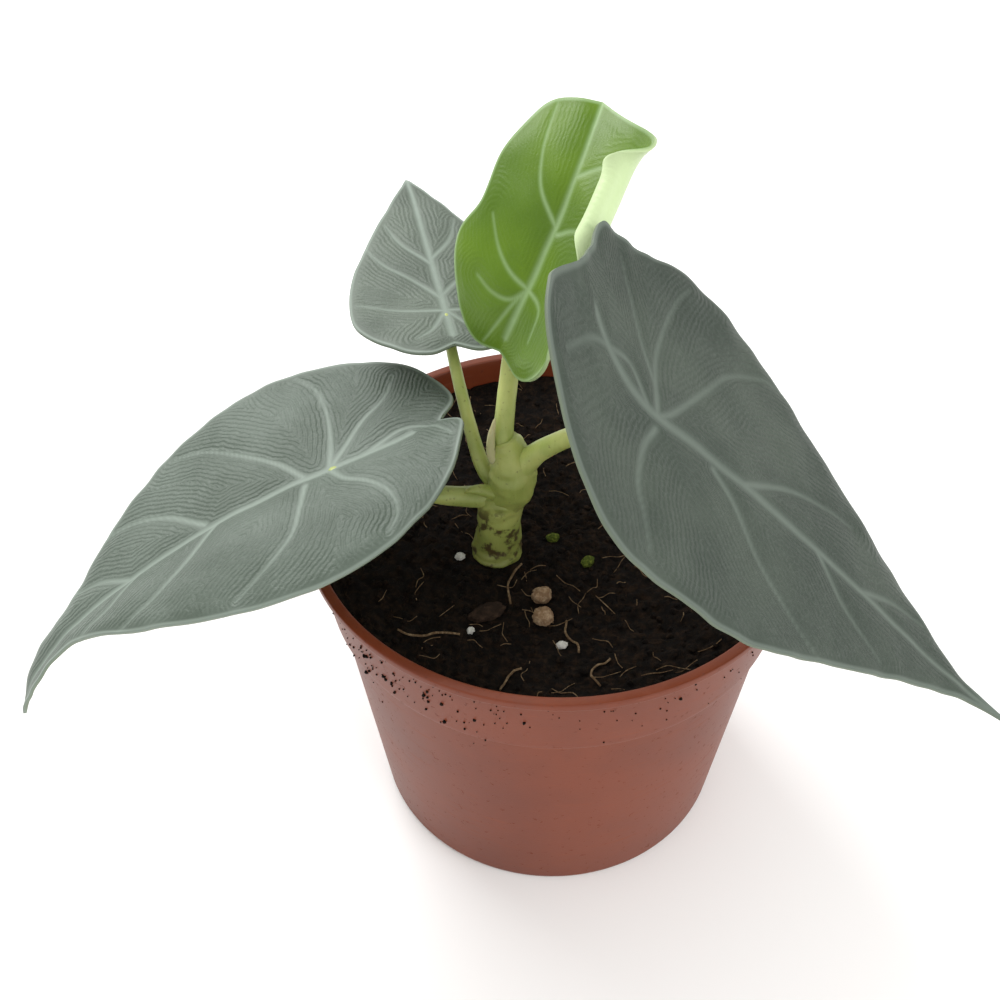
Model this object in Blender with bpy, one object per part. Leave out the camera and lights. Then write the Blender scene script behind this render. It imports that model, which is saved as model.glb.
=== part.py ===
"""A young alocasia in a tapered nursery pot, in metres, +Z up, standing on z = 0 with the pot's axis on Z."""

from dataclasses import dataclass
from math import cos, pi, radians, sin

import bmesh
import bpy
import numpy as np
from mathutils import Vector, noise

MM = 0.001
GAP = 0.3 * MM  # clearance kept between touching pieces

# ---------------------------------------------------------------- driving sizes
RIM_RADIUS = 60.0 * MM
POT_HEIGHT = 91.4 * MM
BASE_RADIUS = 45.7 * MM
COLLAR_HEIGHT = 21.0 * MM
COLLAR_LOW_RADIUS = 55.7 * MM
COLLAR_STEP = 1.5 * MM
LIP_WIDTH = 2.5 * MM
LIP_DROP = 2.2 * MM
WALL = 1.3 * MM
POT_STEPS = 72

DRAIN_COUNT = 8
DRAIN_RADIUS = 4.0 * MM
DRAIN_CIRCLE = 33.0 * MM

SOIL_LEVEL = 82.6 * MM
SOIL_BANK = 2.6 * MM  # rise of the soil where it meets the wall
SOIL_LUMPS = 0.7 * MM
SOIL_RINGS = 13
SOIL_STEPS = 64

BLADE_THICKNESS = 0.9 * MM
TUBE_SIDES = 3  # resolution of a round stalk's bevel


@dataclass
class Blade:
    """A shield-shaped leaf blade. Lengths in mm, angles in degrees, factors scale the outline's own points."""

    navel: tuple  # where the stalk meets the blade, on its upper face
    heading: float  # compass direction of the tip, anticlockwise from +X
    pitch: float  # slope of the midrib at the navel, up is positive
    roll: float  # turn about the midrib
    front: float  # navel to tip
    back: float  # navel to the back lobes
    wide: tuple  # half widths, left then right of the midrib
    droop: float  # change of slope from navel to tip
    back_bend: float  # change of slope from navel to back
    tip_curl: float  # further change of slope in the last two fifths
    fold: tuple  # angle between blade and midrib plane, left then right
    arch: tuple  # further angle gained out to the margin
    edge_roll: tuple = (0, 0)  # angle gained by a margin that is still rolled up
    edge_end: float = 0.85  # share of the front where that roll ends
    bow: float = 0.0  # sideways bend of the midrib ahead of the navel
    sweep: float = 0.0  # sideways bend of the midrib behind the navel
    notch: float = 0.86  # share of the back length where the two lobes part
    lobe_back: tuple = (1, 1)
    lobe_out: tuple = (1, 1)
    lobe_mid: tuple = (1, 1)
    shoulder: tuple = (1, 1)
    belly: tuple = (1, 1)
    waist: tuple = (1, 1)
    neck: tuple = (1, 1)
    drip: tuple = (1, 1)


BLADES = {
    "left": Blade(
        navel=(-51.0, -11.5, 111.4), heading=198.6, pitch=-15.2, roll=17.9, front=96.6, back=31.9,
        wide=(32.7, 35.8), droop=-28.2, back_bend=-5.0, tip_curl=-28.9, fold=(-4.2, -15.0),
        arch=(34.4, -2.5), lobe_out=(0.62, 0.72), lobe_mid=(1.06, 1.06), shoulder=(1.08, 1.08),
        waist=(0.94, 0.94), neck=(0.64, 0.64), drip=(1.36, 1.36),
    ),
    "right": Blade(
        navel=(18.0, -46.7, 159.9), heading=-0.3, pitch=-42.0, roll=-6.0, front=102.2, back=29.0,
        wide=(43.4, 38.0), droop=-4.5, back_bend=-37.6, tip_curl=16.0, fold=(-9.2, 18.7),
        arch=(-8.9, -9.0), bow=-0.14, sweep=0.96, lobe_back=(0.79, 1.0), lobe_out=(0.8, 1.9),
        lobe_mid=(0.8, 1.03), shoulder=(0.99, 0.92), belly=(0.86, 0.88), waist=(0.78, 0.8),
        neck=(0.71, 0.71), drip=(0.51, 0.51),
    ),
    "back": Blade(
        navel=(-27.1, 24.7, 129.7), heading=103.9, pitch=-2.2, roll=1.7, front=65.3, back=16.2,
        wide=(21.1, 22.0), droop=2.4, back_bend=-1.8, tip_curl=-16.8, fold=(0.8, 1.8),
        arch=(10.5, 16.6), lobe_mid=(0.94, 0.94), shoulder=(1.05, 1.0), belly=(0.97, 0.97),
        waist=(0.95, 0.95), drip=(1.23, 1.23),
    ),
    "new": Blade(
        navel=(-7.2, 2.6, 151.7), heading=38.2, pitch=59.0, roll=7.3, front=41.8, back=18.4,
        wide=(23.5, 26.7), droop=-32.0, back_bend=30.5, tip_curl=-9.2, fold=(-5.9, -5.6),
        arch=(18.7, -47.8), edge_roll=(0, -199), bow=0.29, sweep=0.17, notch=0.93,
        lobe_out=(1.02, 1.0), lobe_mid=(0.94, 0.8), shoulder=(1.09, 0.85), belly=(0.94, 0.84),
        waist=(1.29, 1.5), neck=(2.04, 2.8), drip=(4.45, 7.4),
    ),
}
BLADE_GRID = {"left": (30, 16), "right": (32, 18), "back": (22, 12), "new": (30, 26)}

# Each stalk: points in mm with a radius in mm, from its root to just under its blade's navel.
STALKS = {
    "left": [(-13.0, -5.0, 98.6, 3.0), (-20.0, -6.5, 99.6, 2.5), (-27.9, -8.0, 101.4, 2.2),
             (-40.0, -9.8, 105.4, 2.1), (-48.5, -11.1, 109.6, 2.0), (-51.0, -11.5, 111.2, 2.0)],
    "right": [(-8.6, -6.0, 108.6, 3.2), (-3.4, -7.4, 115.6, 2.4), (4.4, -12.0, 124.6, 2.1),
              (10.8, -24.0, 137.0, 2.0), (16.2, -41.0, 154.6, 2.0), (17.9, -46.2, 159.4, 2.0)],
    "back": [(-14.0, -4.0, 101.0, 2.1), (-17.5, -1.5, 106.0, 1.8), (-21.0, 4.0, 116.0, 1.5),
             (-24.6, 14.0, 124.6, 1.3), (-26.5, 22.0, 128.6, 1.2), (-27.0, 24.4, 129.5, 1.2)],
    "new": [(-11.4, -3.8, 109.0, 2.3), (-12.2, -3.8, 114.5, 2.3), (-11.8, -0.6, 122.0, 2.2),
            (-10.8, 4.6, 131.0, 2.1), (-9.4, 6.6, 141.0, 2.0), (-7.4, 3.2, 151.2, 1.9)],
}
STEM = [(-13.7, -6.2, 82.6, 6.1), (-13.5, -6.0, 85.0, 5.6), (-13.2, -5.6, 91.0, 5.2),
        (-12.8, -5.2, 97.0, 5.2), (-12.6, -5.0, 100.0, 4.6), (-12.5, -5.0, 101.2, 3.2)]
SHEATH = [(-11.4, -5.0, 98.0, 4.6), (-10.3, -5.4, 103.0, 5.5), (-10.0, -5.2, 108.0, 5.3),
          (-10.8, -4.3, 112.8, 4.0), (-11.8, -4.0, 115.6, 3.1)]
SPIKE = [(-12.6, -5.4, 108.0, 1.6), (-14.6, -5.8, 112.5, 1.25), (-14.8, -5.6, 117.0, 0.9),
         (-14.2, -5.2, 121.0, 0.45), (-13.9, -5.0, 122.4, 0.15)]
FLAP = [(-14.5, -7.5, 102.0, 2.0), (-17.2, -8.4, 104.0, 1.7), (-19.6, -8.8, 104.2, 1.2),
        (-21.0, -8.6, 102.8, 0.6)]

# Loose pieces on the soil: centre x, y and half sizes in mm, turn in degrees.
LUMPS = {
    "clay_lump_rear": (-2.4, -22.0, 2.4, 1.8, 2.2, 20),
    "clay_lump_front": (-2.0, -28.4, 2.3, 2.3, 2.0, -35),
    "bark_chip": (-15.0, -27.0, 4.2, 2.3, 1.0, 30),
    "perlite_left": (-22.4, -9.4, 1.2, 1.0, 0.9, 10),
    "perlite_front": (-18.3, -32.6, 1.0, 0.9, 0.8, 70),
    "perlite_right": (2.4, -35.9, 1.3, 1.0, 0.9, 0),
    "moss_tuft_rear": (-0.4, -2.2, 1.6, 1.3, 0.9, 15),
    "moss_tuft_right": (8.1, -9.8, 1.8, 1.4, 1.0, 60),
}
ROOTS = {
    "root_left": [(-34.7, -35.0), (-30.0, -36.4), (-25.0, -34.6), (-20.6, -34.7)],
    "root_middle": [(-9.6, -24.6), (-10.5, -19.5), (-9.4, -15.0), (-7.6, -11.8)],
    "root_right": [(3.4, -29.2), (3.2, -33.0), (5.8, -36.2), (6.2, -39.4)],
    "root_front": [(13.2, -41.0), (9.6, -43.2), (9.0, -46.4), (11.0, -48.8)],
    "root_rim": [(-10.8, -50.6), (-9.6, -48.0), (-8.6, -45.8), (-6.4, -44.0)],
}
ROOT_RADIUS = 0.4 * MM
SEAT_RADIUS = 1.5 * MM  # the soil is pressed flat this far around each loose piece

COLOURS = {  # colour and roughness
    "terracotta_plastic": ((0.27, 0.052, 0.024), 0.45),
    "soil": ((0.008, 0.006, 0.004), 0.95),
    "stalk_green": ((0.30, 0.36, 0.09), 0.45),
    "sheath_green": ((0.38, 0.42, 0.12), 0.5),
    "sheath_pale": ((0.55, 0.55, 0.32), 0.6),
    "blade_grey": ((0.17, 0.20, 0.18), 0.5),
    "blade_green": ((0.10, 0.22, 0.015), 0.4),
    "clay": ((0.42, 0.30, 0.19), 0.8),
    "bark": ((0.03, 0.018, 0.012), 0.85),
    "perlite": ((0.75, 0.74, 0.70), 0.9),
    "moss": ((0.16, 0.20, 0.03), 0.85),
    "root": ((0.24, 0.17, 0.10), 0.8),
}


# ---------------------------------------------------------------- helpers
def clear_scene():
    for obj in list(bpy.data.objects):
        bpy.data.objects.remove(obj, do_unlink=True)


def material(name):
    found = bpy.data.materials.get(name)
    if found:
        return found
    colour, roughness = COLOURS[name]
    made = bpy.data.materials.new(name)
    made.use_nodes = True
    shader = made.node_tree.nodes["Principled BSDF"]
    shader.inputs["Base Color"].default_value = (*colour, 1)
    shader.inputs["Roughness"].default_value = roughness
    shader.inputs["Metallic"].default_value = 0
    made.diffuse_color = (*colour, 1)
    return made


def add_object(name, data, slot):
    obj = bpy.data.objects.new(name, data)
    bpy.context.scene.collection.objects.link(obj)
    data.materials.append(material(slot))
    return obj


def from_bmesh(name, bm, slot, smooth=True):
    mesh = bpy.data.meshes.new(name)
    bm.to_mesh(mesh)
    bm.free()
    for face in mesh.polygons:
        face.use_smooth = smooth
    return add_object(name, mesh, slot)


def baked(obj):
    """The object with its modifiers and curve settings turned into plain mesh."""
    bpy.context.view_layer.update()
    graph = bpy.context.evaluated_depsgraph_get()
    mesh = bpy.data.meshes.new_from_object(obj.evaluated_get(graph))
    name = obj.name
    hidden = obj.hide_render
    bpy.data.objects.remove(obj, do_unlink=True)
    made = bpy.data.objects.new(name, mesh)
    bpy.context.scene.collection.objects.link(made)
    made.hide_render = hidden
    bm = bmesh.new()
    bm.from_mesh(mesh)
    bmesh.ops.remove_doubles(bm, verts=bm.verts, dist=1e-6)
    bmesh.ops.recalc_face_normals(bm, faces=bm.faces)
    bm.to_mesh(mesh)
    bm.free()
    for face in mesh.polygons:
        face.use_smooth = True
    return made


def helper(obj):
    obj.hide_render = True
    obj.display_type = "WIRE"
    return obj


def cut(obj, cutter):
    """Removes the cutter's space from the object."""
    step = obj.modifiers.new("cut_" + cutter.name, "BOOLEAN")
    step.operation = "DIFFERENCE"
    step.solver = "EXACT"
    step.object = helper(cutter)


def smooth_path(points, per_span):
    """A Catmull-Rom curve through the points, whatever their number of coordinates."""
    p = np.asarray(points, float)
    p = np.vstack([2 * p[0] - p[1], p, 2 * p[-1] - p[-2]])
    t = np.linspace(0, 1, per_span, endpoint=False)[:, None]
    spans = []
    for a, b, c, d in zip(p, p[1:], p[2:], p[3:]):
        spans.append(b + 0.5 * t * ((c - a) + t * (2 * a - 5 * b + 4 * c - d + t * (3 * (b - c) + d - a))))
    return np.vstack(spans + [p[-2:-1]])


def tube(name, stations, slot, grow=0.0, per_span=3):
    """A round stalk through stations of (x, y, z, radius) in mm, with closed ends."""
    path = smooth_path(stations, per_span) * MM
    data = bpy.data.curves.new(name, "CURVE")
    data.dimensions = "3D"
    data.bevel_depth = 1.0
    data.bevel_resolution = TUBE_SIDES
    data.use_fill_caps = True
    spline = data.splines.new("POLY")
    spline.points.add(len(path) - 1)
    for point, (x, y, z, radius) in zip(spline.points, path):
        point.co = (x, y, z, 1)
        point.radius = radius + grow
    return baked(add_object(name, data, slot))


# ---------------------------------------------------------------- leaf blades
def blade_margin(blade, side, per_span=8):
    """The flat outline of one half, from the notch round to the tip; side is 0 for left, 1 for right."""
    width = blade.wide[side]
    back, front = blade.back, blade.front
    points = [
        (-blade.notch * back, 0),
        (-blade.lobe_back[side] * back, 0.30 * width * blade.lobe_out[side]),
        (-0.70 * back, 0.70 * width * blade.lobe_mid[side]),
        (0, 0.97 * width * blade.shoulder[side]),
        (0.25 * front, width * blade.belly[side]),
        (0.50 * front, 0.72 * width * blade.waist[side]),
        (0.72 * front, 0.36 * width * blade.neck[side]),
        (0.88 * front, 0.11 * width * blade.drip[side]),
        (front, 0),
    ]
    return smooth_path(points, per_span) * (1, 1 - 2 * side)


def blade_surface(blade, flat):
    """Bends flat (x, y) points in mm, x towards the tip, into place in metres."""
    x, y = flat[:, 0], flat[:, 1]
    left = y > 0
    pick = lambda pair: np.where(left, pair[0], pair[1])

    along = np.linspace(-1.3 * blade.back, 1.02 * blade.front, 240)
    slope = blade.pitch + np.where(along > 0, blade.droop * along / blade.front, -blade.back_bend * along / blade.back)
    slope = np.radians(slope + blade.tip_curl * np.clip((along / blade.front - 0.6) / 0.4, 0, None) ** 2)
    step = along[1] - along[0]
    run = np.concatenate([[0], np.cumsum((np.cos(slope)[1:] + np.cos(slope)[:-1]) * step / 2)])
    rise = np.concatenate([[0], np.cumsum((np.sin(slope)[1:] + np.sin(slope)[:-1]) * step / 2)])
    run = np.interp(x, along, run) - np.interp(0, along, run)
    rise = np.interp(x, along, rise) - np.interp(0, along, rise)
    slope = np.interp(x, along, slope)

    out = np.abs(y)
    rolled = np.clip((blade.edge_end - x / blade.front) / 0.25, 0, 1)
    rolled = rolled * rolled * (3 - 2 * rolled)
    share = np.linspace(0, 1, 17)[:, None] * out / pick(blade.wide)
    turn = pick(blade.fold) + pick(blade.arch) * share
    turn = np.radians(turn + pick(blade.edge_roll) * rolled * np.clip((share - 0.55) / 0.45, 0, None) ** 2)
    weight = np.ones((17, 1)) / 16
    weight[0] = weight[-1] = 1 / 32
    across = (np.cos(turn) * weight).sum(0) * out * np.sign(y)
    drop = (np.sin(turn) * weight).sum(0) * out
    sway = np.where(x < 0, blade.sweep * x * x / blade.back, blade.bow * x * x / blade.front)

    shape = np.stack([run + drop * np.sin(slope), across + sway, rise - drop * np.cos(slope)], -1)
    roll, pitch, heading = radians(blade.roll), radians(blade.pitch), radians(blade.heading)
    axis = np.array([cos(pitch), 0, sin(pitch)])
    shape = (shape * cos(roll) + np.cross(axis, shape) * sin(roll)
             + axis * (shape @ axis)[:, None] * (1 - cos(roll)))
    turned = np.stack([shape[:, 0] * cos(heading) - shape[:, 1] * sin(heading),
                       shape[:, 0] * sin(heading) + shape[:, 1] * cos(heading), shape[:, 2]], -1)
    return (turned + blade.navel) * MM


def blade_sheet(name, blade, columns, rows):
    """The bent blade as a sheet: columns run from notch to tip, rows from margin to margin."""
    bm = bmesh.new()
    bmesh.ops.create_grid(bm, x_segments=columns, y_segments=rows, size=1)
    u = np.array([(vert.co.x + 1) / 2 for vert in bm.verts])
    v = np.array([vert.co.y for vert in bm.verts])
    start = -blade.notch * blade.back
    midrib = np.stack([start + (blade.front - start) * u**1.5, 0 * u], -1)
    flat = midrib.copy()
    for side, mask in ((0, v > 0), (1, v < 0)):
        margin = blade_margin(blade, side)
        place = np.linspace(0, 1, len(margin))
        edge = np.stack([np.interp(u, place, margin[:, 0]), np.interp(u, place, margin[:, 1])], -1)
        flat = np.where(mask[:, None], midrib + np.abs(v)[:, None] * (edge - midrib), flat)
    for vert, place in zip(bm.verts, blade_surface(blade, flat)):
        vert.co = place
    bmesh.ops.remove_doubles(bm, verts=bm.verts, dist=2e-5)
    return from_bmesh(name, bm, "blade_green" if "new" in name else "blade_grey")


def thicken(sheet, below, above):
    step = sheet.modifiers.new("thickness", "SOLIDIFY")
    step.thickness = below + above
    step.offset = (above - below) / (below + above)
    return baked(sheet)


def build_blade(which):
    blade = BLADES[which]
    columns, rows = BLADE_GRID[which]
    half = BLADE_THICKNESS / 2
    solid = thicken(blade_sheet("blade_" + which, blade, columns, rows), half, half)
    room = thicken(blade_sheet("room_" + which, blade, columns, rows), half + GAP, 2.5 * MM)
    return solid, helper(room)


# ---------------------------------------------------------------- pot and soil
def revolve(name, profile, slot, steps):
    """Turns an (r, z) profile once round Z."""
    bm = bmesh.new()
    verts = [bm.verts.new((r, 0, z)) for r, z in profile]
    for a, b in zip(verts, verts[1:]):
        bm.edges.new((a, b))
    obj = from_bmesh(name, bm, slot)
    turn = obj.modifiers.new("turn", "SCREW")
    turn.axis = "Z"
    turn.steps = steps
    turn.render_steps = steps
    turn.use_merge_vertices = True
    turn.merge_threshold = 1e-5
    return obj


def wall_radius(z):
    """Radius of the pot's outer wall, leaving out the lip."""
    shoulder = POT_HEIGHT - COLLAR_HEIGHT
    if z < shoulder:
        return BASE_RADIUS + (COLLAR_LOW_RADIUS - COLLAR_STEP - BASE_RADIUS) * z / shoulder
    top = RIM_RADIUS - 0.5 * LIP_WIDTH
    return COLLAR_LOW_RADIUS + (top - COLLAR_LOW_RADIUS) * (z - shoulder) / COLLAR_HEIGHT


def build_pot():
    shoulder = POT_HEIGHT - COLLAR_HEIGHT
    under_lip = POT_HEIGHT - LIP_DROP
    ledge = shoulder + WALL
    inner = lambda z: wall_radius(z) - WALL
    profile = [
        (0, WALL), (inner(WALL) - 1 * MM, WALL), (inner(WALL), WALL + 1 * MM),
        (inner(shoulder - 1 * MM), shoulder - 1 * MM), (inner(ledge), ledge),
        (inner(under_lip), under_lip), (RIM_RADIUS - LIP_WIDTH, POT_HEIGHT - 0.5 * MM),
        (RIM_RADIUS - LIP_WIDTH + 0.5 * MM, POT_HEIGHT), (RIM_RADIUS - 0.5 * MM, POT_HEIGHT),
        (RIM_RADIUS, POT_HEIGHT - 0.5 * MM), (RIM_RADIUS, under_lip + 0.3 * MM),
        (RIM_RADIUS - 0.3 * MM, under_lip), (wall_radius(under_lip), under_lip),
        (wall_radius(shoulder + 0.5 * MM), shoulder + 0.5 * MM), (COLLAR_LOW_RADIUS - 0.5 * MM, shoulder),
        (wall_radius(shoulder - 1 * MM), shoulder - 1 * MM), (wall_radius(1 * MM), 1 * MM),
        (BASE_RADIUS - 0.6 * MM, 0.3 * MM), (BASE_RADIUS - 1.2 * MM, 0), (0, 0),
    ]
    pot = revolve("pot", profile, "terracotta_plastic", POT_STEPS)
    bm = bmesh.new()
    for index in range(DRAIN_COUNT):
        angle = 2 * pi * (index + 0.5) / DRAIN_COUNT
        spot = bmesh.ops.create_cone(bm, cap_ends=True, segments=16, radius1=DRAIN_RADIUS,
                                     radius2=DRAIN_RADIUS, depth=4 * WALL)
        place = (DRAIN_CIRCLE * cos(angle), DRAIN_CIRCLE * sin(angle), 0.5 * WALL)
        bmesh.ops.translate(bm, verts=spot["verts"], vec=place)
    cut(pot, from_bmesh("drain_cutter", bm, "terracotta_plastic"))
    return baked(pot)


def seats():
    """Where the soil is pressed flat: (x, y, half size) in metres of each thing that stands on it."""
    x, y, _, radius = STEM[0]
    found = [(x * MM, y * MM, radius * MM)]
    for cx, cy, a, b, _, _ in LUMPS.values():
        found.append((cx * MM, cy * MM, max(a, b) * MM))
    return found


def soil_height(x, y):
    """Level of the soil's surface at a point, in metres."""
    reach = (x * x + y * y) ** 0.5 / (RIM_RADIUS - LIP_WIDTH)
    level = SOIL_LEVEL + SOIL_BANK * max(0, reach - 0.45) ** 2 / 0.3
    level += SOIL_LUMPS * noise.noise(Vector((x, y, 0.31)) * 90) + 0.4 * SOIL_LUMPS * noise.noise(Vector((x, y, 0.7)) * 260)
    for cx, cy, radius in seats():
        away = ((x - cx) ** 2 + (y - cy) ** 2) ** 0.5 - radius - SEAT_RADIUS
        blend = min(1, max(0, away / (4 * MM)))
        level = SOIL_LEVEL - 0.9 * MM + (level - SOIL_LEVEL + 0.9 * MM) * blend
    return level


def build_soil():
    edge = wall_radius(SOIL_LEVEL + SOIL_BANK) - WALL - 1.4 * GAP
    shoulder = POT_HEIGHT - COLLAR_HEIGHT
    inside = lambda z: wall_radius(z) - WALL - 1.4 * GAP
    rings = [(edge * index / SOIL_RINGS, SOIL_LEVEL) for index in range(SOIL_RINGS + 1)]
    sides = [(inside(shoulder + 3 * MM), shoulder + 3 * MM), (inside(shoulder - 2 * MM), shoulder - 2 * MM),
             (inside(4 * MM), 4 * MM), (inside(4 * MM) - 2 * MM, WALL + GAP), (0, WALL + GAP)]
    soil = baked(revolve("soil", rings + sides, "soil", SOIL_STEPS))
    for vert in soil.data.vertices:
        if vert.co.z > SOIL_LEVEL - 0.1 * MM:
            vert.co.z = soil_height(vert.co.x, vert.co.y)
    return soil


def build_lump(name, seed):
    """A rough pebble, chip or tuft, flattened beneath where it lies on the soil."""
    x, y, a, b, c, turn = LUMPS[name]
    slot = {"clay": "clay", "bark": "bark", "perl": "perlite", "moss": "moss"}[name[:4]]
    bm = bmesh.new()
    bmesh.ops.create_icosphere(bm, subdivisions=2, radius=1)
    for vert in bm.verts:
        rough = 1 + 0.22 * noise.noise(vert.co * 1.7 + Vector((seed, 0, 0)))
        vert.co = Vector((vert.co.x * a, vert.co.y * b, max(vert.co.z, -0.7) * c)) * rough * MM
    angle = radians(turn)
    floor = min(vert.co.z for vert in bm.verts)
    for vert in bm.verts:
        px, py = vert.co.x, vert.co.y
        vert.co.x = x * MM + px * cos(angle) - py * sin(angle)
        vert.co.y = y * MM + px * sin(angle) + py * cos(angle)
        vert.co.z += SOIL_LEVEL - 0.9 * MM + GAP - floor
    return from_bmesh(name, bm, slot)


def build_root(name):
    """A thin dry root lying along the soil."""
    stations = []
    for x, y in smooth_path(ROOTS[name], 4):
        near = [soil_height((x + dx) * MM, (y + dy) * MM) for dx in (-1.5, 0, 1.5) for dy in (-1.5, 0, 1.5)]
        stations.append((x, y, max(near) / MM + (ROOT_RADIUS + 1.5 * GAP) / MM, ROOT_RADIUS / MM))
    return tube(name, stations, "root", per_span=1)


# ---------------------------------------------------------------- the plant
def build_plant():
    rooms = {}
    for which in BLADES:
        _, rooms[which] = build_blade(which)
    stem = tube("stem", STEM, "sheath_green", per_span=2)
    sheath = tube("sheath", SHEATH, "sheath_green", per_span=2)
    stem_room = tube("stem_room", STEM, "sheath_green", GAP, 2)
    sheath_room = tube("sheath_room", SHEATH, "sheath_green", GAP, 2)
    stalks = {which: tube("petiole_" + which, STALKS[which], "stalk_green") for which in STALKS}
    stalk_rooms = {}
    for which in ("left", "new"):
        stalk_rooms[which] = tube("petiole_room_" + which, STALKS[which], "stalk_green", GAP)
    spike = tube("sheath_tip", SPIKE, "sheath_pale", per_span=2)
    flap = tube("sheath_flap", FLAP, "sheath_pale", per_span=2)

    cut(sheath, stem_room)
    cut(sheath, stalk_rooms["new"])
    for which, stalk in stalks.items():
        cut(stalk, rooms[which])
    for which in ("left", "back"):
        cut(stalks[which], stem_room)
        cut(stalks[which], sheath_room)
    cut(stalks["back"], stalk_rooms["left"])
    cut(stalks["right"], sheath_room)
    cut(stalks["right"], stalk_rooms["new"])
    cut(spike, sheath_room)
    cut(spike, stalk_rooms["new"])
    cut(flap, stem_room)
    cut(flap, sheath_room)
    cut(flap, stalk_rooms["left"])
    for obj in (sheath, spike, flap, *stalks.values()):
        baked(obj)
    return stem


clear_scene()
build_pot()
build_soil()
build_plant()
for number, lump in enumerate(LUMPS):
    build_lump(lump, 3.7 * number)
for root in ROOTS:
    build_root(root)
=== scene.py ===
# %% [markdown]
# # A young alocasia in its nursery pot
# The solid model is loaded as the frame, and every piece of it is then modelled again in finer detail at the
# same place. Three things make this plant what it is, so most of the work goes into them: thin blades with pale
# veins and fingerprint-like ridges between them, one young leaf whose margin is still rolled up, and a plain
# moulded pot dirtied with peat.

from math import cos, pi, radians, sin

import bmesh
import bpy
import numpy as np
from mathutils import Matrix, Vector, noise


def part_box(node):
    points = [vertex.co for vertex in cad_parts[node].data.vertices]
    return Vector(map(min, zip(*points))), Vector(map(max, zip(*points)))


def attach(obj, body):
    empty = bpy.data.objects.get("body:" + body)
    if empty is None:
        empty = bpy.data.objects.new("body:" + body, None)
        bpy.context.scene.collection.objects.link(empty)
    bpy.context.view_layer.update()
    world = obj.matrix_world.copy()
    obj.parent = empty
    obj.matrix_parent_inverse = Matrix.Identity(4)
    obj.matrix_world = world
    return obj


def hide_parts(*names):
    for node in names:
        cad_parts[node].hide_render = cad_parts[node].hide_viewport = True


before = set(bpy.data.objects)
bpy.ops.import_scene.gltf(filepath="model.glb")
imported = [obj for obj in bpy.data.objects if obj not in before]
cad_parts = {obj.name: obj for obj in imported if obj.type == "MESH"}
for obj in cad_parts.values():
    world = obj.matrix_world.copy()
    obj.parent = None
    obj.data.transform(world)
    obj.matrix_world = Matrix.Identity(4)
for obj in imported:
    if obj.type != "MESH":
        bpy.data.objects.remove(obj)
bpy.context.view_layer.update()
MM = 0.001

# %% [markdown]
# ## A short way to write materials
# `Value` wraps a socket and turns Python arithmetic into Math nodes. `Shader` makes a material and any other node
# from its type, its settings and the values or links of its inputs.

# %% Shader maths
class Value:
    """A number that varies over a surface."""

    def __init__(self, shader, socket):
        self.shader, self.socket = shader, socket

    def _math(self, operation, *values):
        return self.shader.node("ShaderNodeMath", {"operation": operation}, dict(enumerate(values)))

    def __add__(self, other):
        return self._math("ADD", self, other)

    __radd__ = __add__

    def __mul__(self, other):
        return self._math("MULTIPLY", self, other)

    __rmul__ = __mul__

    def __sub__(self, other):
        return self._math("SUBTRACT", self, other)

    def __rsub__(self, other):
        return self._math("SUBTRACT", other, self)

    def __truediv__(self, other):
        return self._math("DIVIDE", self, other)

    def __pow__(self, other):
        return self._math("POWER", self, other)

    def sine(self):
        return self._math("SINE", self)

    def step(self, low, high):
        """0 below low, 1 above high and smooth between."""
        return self.shader.node(
            "ShaderNodeMapRange", {"interpolation_type": "SMOOTHSTEP"},
            {"Value": self, "From Min": low, "From Max": high},
        )


class Shader:
    """One material, built round a Principled node."""

    def __init__(self, name):
        self.material = bpy.data.materials.new(name)
        self.material.use_nodes = True
        self.tree = self.material.node_tree
        self.base = self.tree.nodes["Principled BSDF"]

    def node(self, kind, settings=None, inputs=None, output=0):
        made = self.tree.nodes.new(kind)
        for key, value in (settings or {}).items():
            setattr(made, key, value)
        self.set(made, inputs or {})
        return Value(self, made.outputs[output])

    def set(self, node, inputs):
        for key, value in inputs.items():
            if isinstance(value, Value):
                self.tree.links.new(value.socket, node.inputs[key])
            else:
                node.inputs[key].default_value = value

    def place(self):
        return self.node("ShaderNodeTexCoord", output="Object")

    def stretched(self, scale):
        return self.node("ShaderNodeMapping", {}, {"Vector": self.place(), "Scale": scale})

    def attribute(self, name):
        return self.node("ShaderNodeAttribute", {"attribute_name": name}, output="Fac")

    def noise(self, scale, detail=4, roughness=0.5, vector=None):
        return self.node(
            "ShaderNodeTexNoise", {},
            {"Vector": vector or self.place(), "Scale": scale, "Detail": detail, "Roughness": roughness},
        )

    def mix(self, share, first, second):
        """A colour between two colours."""
        made = self.tree.nodes.new("ShaderNodeMix")
        made.data_type = "RGBA"
        first, second = [c if isinstance(c, Value) else (*c, 1) for c in (first, second)]
        self.set(made, {0: share, 6: first, 7: second})
        return Value(self, made.outputs[2])

    def bump(self, height, distance, strength=1.0):
        return self.node("ShaderNodeBump", {}, {"Height": height, "Distance": distance, "Strength": strength})

    def finish(self, **inputs):
        """Names the Principled inputs with underscores, and returns the material."""
        self.set(self.base, {key.replace("_", " "): value for key, value in inputs.items()})
        return self.material


# %% [markdown]
# ## Materials
# A mature blade is a cool grey-green with paler veins. Between the veins run close ridges, nested like a
# fingerprint, which follow the distance to the nearest vein; that distance is stored on each blade as an
# attribute, so the ridges come from a sine of it. The young leaf is the same idea in fresh green and smoother.

# %% Leaf materials
RIDGE_PITCH = 1.15  # mm between ridges
OBJECT_NOISE = 45


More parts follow.
